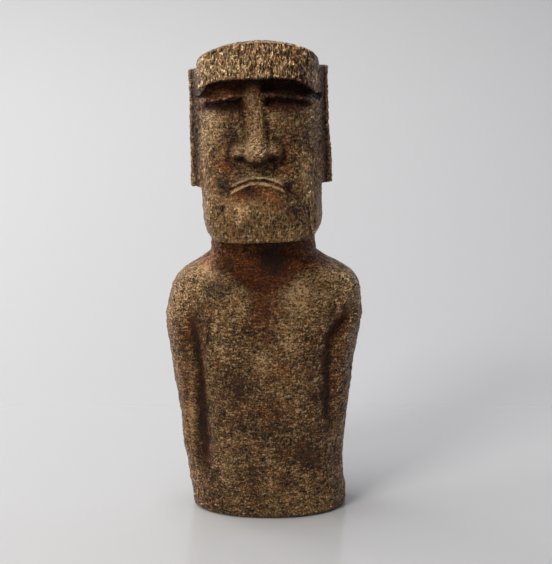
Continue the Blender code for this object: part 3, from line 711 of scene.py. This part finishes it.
def torso_point(angle, section, above_collar):
    """Point of a ring round the torso or neck, and its finish."""
    outline = (section.half_width, section.front, section.back, section.power)
    plan = outline_point(angle, *outline)
    relief = arm_relief(plan.x, section.height)
    if plan.y > 0:
        share = section.height / SHOULDER_HEIGHT
        down_spine = smooth(share / 0.4) * (1 - smooth((share - 0.95) / 0.3))
        relief = 0.35 * relief - SPINE_HOLLOW_DEPTH * down_spine * hump(plan.x, SPINE_HOLLOW_HALF_WIDTH)
    point = plan + outline_normal(plan, *outline) * relief
    in_front = smooth(-plan.y / (0.6 * section.front))
    z = section.height - section.sag * in_front * (1 - smooth(abs(plan.x) / COLLAR_HALF_WIDTH))
    finish = torso_finish(plan.x, z, section.height, in_front, above_collar)
    return Vector((point.x + section.shift, point.y, z)), finish


def rows_between(first, last, make, spacing):
    """Rings from one station to the next but without the last, as far apart as the spacing allows."""
    apart = max((b - a).length for (a, _), (b, _) in zip(make(first), make(last)))
    count = math.ceil(apart / spacing)
    return [make(mix(first, last, i / count)) for i in range(count)]


def bridge(lower, upper, spacing):
    """Rings laid straight between two others, without either."""
    apart = max((b - a).length for (a, _), (b, _) in zip(lower, upper))
    count = math.ceil(apart / spacing)
    rows = []
    for k in range(1, count):
        share = k / count
        rows.append([
            (a.lerp(b, share), Finish(*(mix(u, v, share) for u, v in zip(start, end))))
            for (a, start), (b, end) in zip(lower, upper)
        ])
    return rows


def figure_rows():
    """All rings from the underside to the crown. Each is a list of points with their finish."""
    angles = column_angles()
    sections, courses = torso_sections(), head_courses()

    def torso_row(place):
        section = between(sections, place)
        above_collar = smooth((place - COLLAR_START) / (COLLAR_FULL - COLLAR_START))
        return [torso_point(angle, section, above_collar) for angle in angles]

    def head_row(place):
        course = between(courses, place)
        points = [head_point(angle, course) for angle in angles]
        return [(place_head(point), finish) for point, finish in points]

    def crown_row(size):
        points = [crown_point(angle, size) for angle in angles]
        return [(place_head(point), finish) for point, finish in points]

    base = torso_row(0)
    plain = Finish(0.0, 0.3, 0.3, 0.0, 1.0)
    rows = [[(point * size, plain) for point, _ in base] for size in UNDERSIDE_RINGS]
    for i in range(len(sections) - 1):
        rows += rows_between(i, i + 1, torso_row, TORSO_SPACING)
    neck_top, jaw = torso_row(len(sections) - 1), head_row(0)
    rows += [neck_top] + bridge(neck_top, jaw, HEAD_SPACING)
    for i in range(len(courses) - 1):
        rows += rows_between(i, i + 1, head_row, HEAD_SPACING)
    rim, top_course = crown_row(1.0), head_row(len(courses) - 1)
    rows += [top_course] + bridge(top_course, rim, HEAD_SPACING)
    count = math.ceil(HEAD_HALF_WIDTH / CROWN_SPACING)
    rows += [crown_row(mix(1.0, 0.02, (k / count) ** 1.1)) for k in range(count + 1)]
    return rows


def surface_normals(grid):
    """Outward direction at every point of the grid of rings."""
    around = np.roll(grid, -1, axis=1) - np.roll(grid, 1, axis=1)
    upwards = np.empty_like(grid)
    upwards[1:-1] = grid[2:] - grid[:-2]
    upwards[0], upwards[-1] = grid[1] - grid[0], grid[-1] - grid[-2]
    normals = np.cross(around, upwards)
    return normals / np.maximum(np.linalg.norm(normals, axis=2, keepdims=True), 1e-12)


# Chips in the brow and the crown's edge and a pit in the belly: place across and height above the floor,
# half width, half height and depth, in mm
CHIPS = (
    (7.0, 356.0, 0.9, 5.0, 1.8),
    (30.0, 352.8, 0.9, 3.5, 1.4),
    (-37.4, 372.0, 0.9, 3.0, 1.6),
    (-7.3, 361.3, 2.4, 1.8, 0.9),
    (-14.0, 378.0, 0.9, 1.5, 1.0),
    (40.7, 102.6, 2.2, 2.2, 1.3),
)

# Patches painted on the front beyond what the form alone calls for. The near-black ones are mostly painted
# shade: over the eyes and the top of the bridge under the brow, on the right cheek and the right end of the
# brow, in the left arm's groove and under the chin. The rubbed ones are partly painted light, as on the left
# cheek, the forehead, the chin and the inner edge of the left arm; the rest are the paint's own patches.
# Columns: the paint, the place across and the height above the floor, the dab's half width and half height
# in mm, and how much of it
DABS = (
    ("rubbed", -17, 364, 17, 8, 0.22),
    ("wash", 31, 364, 12, 14, 0.5),
    ("wash", -4, 347, 8.5, 4.5, 0.75),
    ("wash", 21, 345, 20, 5, 0.9),
    ("wash", 19, 339.5, 17, 3, 0.45),
    ("wash", -24, 332, 15, 3.5, 0.35),
    ("rubbed", -37, 322, 7.5, 6, 0.4),
    ("wash", -25, 306, 6, 10, 0.4),
    ("glaze", -32, 287, 7.5, 5, 0.6),
    ("rubbed", 7, 324, 5, 8, 0.5),
    ("wash", 27, 309, 12, 17, 0.33),
    ("rubbed", 32, 281, 3.5, 12, 0.4),
    ("wash", -9, 267, 8, 4, 0.5),
    ("rubbed", -17, 251, 4.5, 9, 0.45),
    ("glaze", -22, 262, 12, 7, 0.35),
    ("wash", -37, 270, 6, 10, 0.3),
    ("glaze", 6, 259, 13, 6, 0.35),
    ("wash", -28.5, 272, 5, 4, 0.6),
    ("wash", 19.5, 271.5, 3, 4, 0.6),
    ("rubbed", -45.5, 206.5, 8.5, 8, 0.8),
    ("wash", -36, 189, 11, 7, 0.45),
    ("wash", 25, 252, 14, 13, 0.6),
    ("wash", 9, 243, 12, 7, 0.2),
    ("wash", -16, 243, 20, 12, 0.22),
    ("wash", -12, 362, 30, 9, 0.2),
    ("wash", -53, 316, 4, 45, 0.35),
    ("wash", -36, 252, 6, 10, 0.2),
    ("glaze", 0, 177, 9, 13.5, 0.6),
    ("rubbed", 26, 189, 9.5, 18.5, 0.45),
    ("rubbed", 22, 151, 9.5, 15.5, 0.5),
    ("rubbed", -2, 133, 9.5, 10.5, 0.5),
    ("glaze", 15, 125, 11, 8, 0.5),
    ("wash", -19, 113, 12, 9.5, 0.5),
    ("glaze", 7.5, 92.5, 16, 7, 0.4),
    ("wash", -4, 78, 16, 6, 0.35),
    ("wash", 36, 55.5, 10, 10.5, 0.5),
    ("rubbed", -34.5, 150, 6, 15, 0.5),
    ("rubbed", -30.5, 45.5, 7.5, 11.5, 0.45),
    ("rubbed", 6, 50, 7, 10, 0.45),
    ("glaze", 59, 151, 5, 25, 0.5),
    ("rubbed", -58.5, 88, 2.5, 36, 0.85),
    ("glaze", -62, 100, 6, 40, 0.5),
    ("wash", -50.5, 84, 2.5, 40, 0.6),
    ("wash", -53.5, 145, 2.5, 22, 0.45),
    ("glaze", -46, 60, 4, 26, 0.3),
    ("glaze", -57, 157, 5, 17.5, 0.5),
    ("wash", 7.5, 210.5, 10, 12.5, 0.6),
    ("rubbed", -17, 217, 8, 4, 0.3),
)


def dabbed(point, finish):
    """The finish with the patches of paint, painted shade and painted light on it, each with a broken edge.
    """
    if point.y > 0:
        return finish
    ragged = 2.4 * MM * grain(point, 6 * MM, seed=7.2)
    added = dict.fromkeys(("rubbed", "glaze", "wash"), 0.0)
    for paint, x, z, half_width, half_height, amount in DABS:
        across = (point.x + ragged - x * MM) / (half_width * MM)
        above = (point.z - ragged - z * MM) / (half_height * MM)
        if abs(across) < 2.5 and abs(above) < 2.5:
            added[paint] += amount * math.exp(-(across**2 + above**2))
    amounts = {paint: min(getattr(finish, paint) + more, 1.0) for paint, more in added.items()}
    return finish._replace(**amounts)


def worked_relief(point, finish):
    """How far the surface stands off the plain form, and from 0 to 1 how raised it is for the brush.

    The clay was lumpy, and its coarser strokes and crumbs are 2 to 3 mm wide.
    """
    rough = 1 - 0.85 * finish.calm
    lumps = 0.7 * MM * grain(point, 24 * MM, seed=1.3) + 0.35 * MM * grain(point, 9 * MM, seed=3.3)
    stroke = 0.4 - 1.6 * abs(grain(point, 2.6 * MM, 9 * MM, seed=4.1))
    stroke += 1.5 * grain(point, 1.9 * MM, 5 * MM, seed=9.2)
    crust = 0.7 * grain(point, 3.4 * MM, seed=2.7) + 1.0 * grain(point, 2.1 * MM, seed=6.4)
    streak = grain(point, 11 * MM, 2.6 * MM, seed=5.5) * hump(point.z - 100 * MM, 45 * MM)
    pit = smooth((grain(point, 2.8 * MM, seed=8.8) - 0.24) / 0.2)
    worked = mix(0.75 * crust + 0.3 * streak - 0.5 * pit, 0.75 * stroke + 0.35 * crust, finish.strokes)
    depth = 0.0
    for x, z, half_width, half_height, chip in CHIPS:
        if point.y < 0:
            depth += chip * hump(point.x - x * MM, half_width * MM) * hump(point.z - z * MM, half_height * MM)
    raised = 0.5 + mix(0.45, 0.65, finish.strokes) * worked
    return lumps + rough * worked * MM - depth * MM, min(max(raised - depth, 0.0), 1.0)


def ring_faces(count, around):
    """Faces between the rings, and a fan of them to the middle of the first and of the last ring."""
    faces = []
    for i in range(count - 1):
        for j in range(around):
            k = (j + 1) % around
            faces.append((i * around + j, i * around + k, (i + 1) * around + k, (i + 1) * around + j))
    first, last, top = count * around, count * around + 1, (count - 1) * around
    for j in range(around):
        k = (j + 1) % around
        faces += [(k, j, first), (top + j, top + k, last)]
    return faces


def in_scene(name, data):
    """An object in the scene that shows the mesh, light or camera."""
    made = bpy.data.objects.new(name, data)
    bpy.context.scene.collection.objects.link(made)
    return made


def smooth_piece(name, points, faces):
    """An object with a smoothly shaded mesh of those points and faces."""
    data = bpy.data.meshes.new(name)
    data.from_pydata(points, [], faces)
    data.shade_smooth()
    return in_scene(name, data)


def loft(name, rows):
    """The figure's mesh, with its worked relief, and how it is painted as attributes of its points."""
    grid = np.array([[point[:] for point, _ in row] for row in rows])
    middle = (grid.reshape(-1, 3).min(axis=0) + grid.reshape(-1, 3).max(axis=0)) / 2
    grid[:, :, :2] -= middle[:2]
    normals = surface_normals(grid)
    count, around = grid.shape[:2]
    points, raised, finishes = [], [], []
    for i in range(count):
        for j in range(around):
            place = Vector(grid[i, j])
            finish = dabbed(place, rows[i][j][1])
            lift, level = worked_relief(place, finish)
            lift *= smooth(place.z / (4 * MM))
            points.append(place + Vector(normals[i, j]) * lift)
            raised.append(level)
            finishes.append(finish)
    points += [points[0].lerp(points[around // 2], 0.5), points[-1].lerp(points[-1 - around // 2], 0.5)]
    raised += [raised[0], raised[-1]]
    finishes += [finishes[0], finishes[-1]]
    piece = smooth_piece(name, points, ring_faces(count, around))
    layers = {layer: [getattr(finish, layer) for finish in finishes] for layer in PAINTED}
    layers["raised"] = raised
    for layer, values in layers.items():
        piece.data.attributes.new(layer, "FLOAT", "POINT").data.foreach_set("value", values)
    return piece


def linear(code):
    """Linear colour of an sRGB hex code such as #8a6a3c."""
    shares = [int(code[i : i + 2], 16) / 255 for i in (1, 3, 5)]
    return (*(s / 12.92 if s <= 0.04045 else ((s + 0.055) / 1.055) ** 2.4 for s in shares), 1.0)


def connect(tree, made, inputs):
    """Gives each input, by its name or number, a value, a hex colour or the output that it is linked to."""
    for socket, value in inputs.items():
        if isinstance(value, bpy.types.NodeSocket):
            tree.links.new(value, made.inputs[socket])
        else:
            made.inputs[socket].default_value = linear(value) if isinstance(value, str) else value


def node(tree, kind, inputs, output=0, **settings):
    """Adds a node with its settings and links, and gives one of its outputs."""
    made = tree.nodes.new("ShaderNode" + kind)
    for setting, value in settings.items():
        setattr(made, setting, value)
    connect(tree, made, inputs)
    return made.outputs[output]


def new_material(name):
    """A material with its node tree and its shader."""
    material = bpy.data.materials.new(name)
    material.use_nodes = True
    return material, material.node_tree, material.node_tree.nodes["Principled BSDF"]


def per_metre(size_in_mm):
    """Scale of a texture whose pattern repeats at that size."""
    return 1000 / size_in_mm


def bronze_painted_resin():
    """Cast resin under a brown-black base coat, dry-brushed with bronze paint, glazed dark red in the hollows
    and sealed with a satin varnish, with near-black painted shade in the deep recesses and under overhangs
    and painted highlights on some lit tops and edges. The eye sees golden flecks on every raised crumb, the
    highest painted brighter as glints, near black between them, red-brown shade in the hollows and a soft
    grey sheen at the edges of the form."""
    material, tree, shader = new_material("bronze_painted_cast_resin")
    place = node(tree, "TexCoord", {}, "Object")
    upright = node(tree, "Mapping", {"Vector": place, "Scale": (1.0, 1.0, 0.34)})
    level = node(tree, "Mapping", {"Vector": place, "Scale": (0.35, 0.35, 1.0)})
    strokes, glaze, wash, rubbed, raised = (
        node(tree, "Attribute", {}, "Fac", attribute_name=layer) for layer in (*PAINTED, "raised")
    )

    # The crust's finest crumbs and strokes and the belly's level streaks are under 1 mm wide, too fine to
    # show, so they are drawn at 1.3, 1.15 and 1.5 mm. Patches of smoke are about 15 mm across, the painter's
    # dabs about 20 mm and clouds of thicker paint 33 mm, and the tone changes every 7 mm
    crumbs, stroked, streaks, smoke, dabs, clouds, tones = (
        node(tree, "TexNoise", dict(Vector=axes, Scale=per_metre(size), Detail=detail, Roughness=rough))
        for axes, size, detail, rough in (
            (place, 1.3, 2.0, 0.65),
            (upright, 1.15, 1.4, 0.6),
            (level, 1.5, 1.3, 0.6),
            (place, 15.0, 3.0, 0.55),
            (place, 19.0, 3.0, 0.55),
            (place, 33.0, 2.0, 0.55),
            (place, 7.0, 5.0, 0.55),
        )
    )
    streaks = node(tree, "Math", {0: streaks, 1: 0.45, 2: -0.2}, operation="MULTIPLY_ADD")
    crust = node(tree, "Math", {0: crumbs, 1: 0.95, 2: streaks}, operation="MULTIPLY_ADD")
    flecks = node(tree, "Mix", {0: strokes, 2: crust, 3: stroked}, data_type="FLOAT")

    # Bronze paint covers all but the crevices, more of it where it was rubbed on and where a highlight is
    # painted, and less in the near-black wash and painted shade; the last dry brush leaves bright metal on
    # the highest crumbs, which also paints their glints
    thickest_and_lit = node(tree, "Math", {0: rubbed, 1: 4.0}, operation="POWER")
    cover = flecks
    for layer, share in (
        (raised, 0.26),
        (dabs, 0.16),
        (tones, 0.20),
        (rubbed, 0.12),
        (thickest_and_lit, 0.20),
        (glaze, -0.02),
        (wash, -0.18),
    ):
        cover = node(tree, "Math", {0: layer, 1: share, 2: cover}, operation="MULTIPLY_ADD")
    ease = {"interpolation_type": "SMOOTHSTEP"}
    polish_and_light = node(tree, "Math", {0: rubbed, 1: 0.35, 2: clouds}, operation="MULTIPLY_ADD")
    bronze, bright_tips_and_glints, worn_and_lit, lighter, reddish, coppery, smoky = (
        node(tree, "MapRange", {"Value": layer, "From Min": low, "From Max": high}, **ease)
        for layer, low, high in (
            (cover, 0.69, 0.82),
            (cover, 0.86, 1.00),
            (polish_and_light, 0.35, 0.80),
            (dabs, 0.35, 0.65),
            (tones, 0.42, 0.64),
            (tones, 0.50, 0.66),
            (smoke, 0.56, 0.70),
        )
    )
    red_glaze, warm_glaze, dull_copper, bright_copper, black_wash_and_shade, grey_smoke, metal = (
        node(tree, "Math", {0: layer, 1: share}, operation="MULTIPLY")
        for layer, share in (
            (glaze, 0.35),
            (glaze, 0.8),
            (coppery, 0.55),
            (coppery, 0.35),
            (wash, 0.68),
            (smoky, 0.25),
            (bronze, 0.85),
        )
    )
    red = node(tree, "Math", {0: reddish, 1: 0.5, 2: red_glaze}, operation="MULTIPLY_ADD", use_clamp=True)

    # Base coat under dull bronze under bright bronze, then the near-black wash, mostly painted shade, and the
    # smoke over them. Input 0 of each is how much of the coat in input 7 lies over the one in input 6
    under = node(tree, "Mix", {0: lighter, 6: "#190b04", 7: "#2b1508"}, 2, data_type="RGBA")
    under = node(tree, "Mix", {0: red, 6: under, 7: "#52240c"}, 2, data_type="RGBA")
    dull = node(tree, "Mix", {0: worn_and_lit, 6: "#6f4f30", 7: "#9a7a50"}, 2, data_type="RGBA")
    dull = node(tree, "Mix", {0: dull_copper, 6: dull, 7: "#85502a"}, 2, data_type="RGBA")
    dull = node(tree, "Mix", {0: warm_glaze, 6: dull, 7: "#8c4d26"}, 2, data_type="RGBA")
    gold = node(tree, "Mix", {0: warm_glaze, 6: "#d8ba90", 7: "#d3843f"}, 2, data_type="RGBA")
    gold = node(tree, "Mix", {0: bright_copper, 6: gold, 7: "#b87a45"}, 2, data_type="RGBA")
    rubbed_on = node(tree, "Mix", {0: bright_tips_and_glints, 6: dull, 7: gold}, 2, data_type="RGBA")
    colour = node(tree, "Mix", {0: bronze, 6: under, 7: rubbed_on}, 2, data_type="RGBA")
    colour = node(tree, "Mix", {0: black_wash_and_shade, 6: colour, 7: "#140904"}, 2, data_type="RGBA")
    colour = node(tree, "Mix", {0: grey_smoke, 6: colour, 7: "#2a2020"}, 2, data_type="RGBA")
    gloss = node(tree, "Math", {0: flecks, 1: -0.25, 2: 0.46}, operation="MULTIPLY_ADD")
    grainy = node(tree, "Bump", {"Height": flecks, "Strength": 1.0, "Distance": 4.0 * MM})
    connect(tree, shader, {"Base Color": colour, "Metallic": metal, "Roughness": gloss, "Normal": grainy})
    satin_varnish = {"IOR": 1.45, "Specular IOR Level": 0.28, "Coat Weight": 0.07, "Coat Roughness": 0.30}
    connect(tree, shader, satin_varnish)
    return material


def pale_floor():
    """Smooth lacquered board, curved up behind the figure and duller there. It gives a pale ground with a
    faint mirror image under the figure."""
    profile = [(FLOOR_FRONT, 0.0), (FLOOR_BEND, 0.0)]
    for k in range(FLOOR_STRIPS):
        turn = math.radians(90 * (k / (FLOOR_STRIPS - 1)) ** 1.6)
        y, z = profile[-1]
        profile.append((y + FLOOR_STRIP * math.cos(turn), z + FLOOR_STRIP * math.sin(turn)))
    profile.append((profile[-1][0], FLOOR_TOP))
    points = [(x, y, z) for y, z in profile for x in (-FLOOR_SIDE, FLOOR_SIDE)]
    faces = [(2 * i, 2 * i + 1, 2 * i + 3, 2 * i + 2) for i in range(len(profile) - 1)]
    board = smooth_piece("pale_floor", points, faces)
    material, tree, shader = new_material("satin_white_lacquer")
    place = node(tree, "TexCoord", {}, "Object")
    behind = node(tree, "SeparateXYZ", {"Vector": place}, "Y")
    values = {"Value": behind, "From Min": 0.15, "From Max": 0.6, "To Min": 0.18, "To Max": 0.7}
    dullness = node(tree, "MapRange", values, interpolation_type="SMOOTHSTEP")
    connect(tree, shader, {"Base Color": "#b0b0b2", "Roughness": dullness})
    board.data.materials.append(material)
    return board


def soft_light(name, place, target, size, power, colour):
    """A square soft box that looks at the target."""
    lamp = in_scene(name, bpy.data.lights.new(name, "AREA"))
    lamp.data.size = size
    lamp.data.energy = power
    lamp.data.color = linear(colour)[:3]
    lamp.location = place
    lamp.rotation_euler = (Vector(target) - Vector(place)).to_track_quat("-Z", "Y").to_euler()


def studio():
    """Soft light from the upper left, weaker light from the right and on both edges, a soft light on the
    backdrop, and pale surroundings."""
    soft_light("window_light", (-0.78, -1.00, 1.12), (0, 0, 0.22), 0.5, 20.5, "#fffaf2")
    soft_light("fill_light", (1.3, -1.0, 0.8), (0, 0, 0.2), 1.0, 1.2, "#eef3ff")
    soft_light("edge_light", (-1.1, 0.75, 0.75), (0, 0, 0.2), 0.5, 6, "#faf8f6")
    soft_light("rim_light", (1.1, 0.65, 0.7), (0, 0, 0.25), 0.4, 2.5, "#e6ecfa")
    soft_light("back_light", (-0.45, 0.10, 2.0), (-0.35, 1.2, 1.05), 1.2, 41.5, "#ffffff")
    world = bpy.data.worlds.new("pale_room")
    world.use_nodes = True
    background = world.node_tree.nodes["Background"]
    connect(world.node_tree, background, {"Color": "#e4e3e2", "Strength": 0.17})
    bpy.context.scene.world = world


def camera():
    """Looks slightly down on the figure from straight ahead, framed as in the photograph."""
    view = in_scene("camera", bpy.data.cameras.new("camera"))
    view.location = CAMERA_PLACE
    view.rotation_euler = (math.radians(90 - CAMERA_DOWN), 0, 0)
    view.data.lens = view.data.sensor_width * FOCAL_PIXELS / PICTURE_HEIGHT
    bpy.context.scene.camera = view


bust = loft("moai_bust_cast", figure_rows())
bust.data.materials.append(bronze_painted_resin())
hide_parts("moai_bust")
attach(bust, "root")
pale_floor()
studio()
camera()
bpy.context.scene.view_settings.view_transform = "Standard"
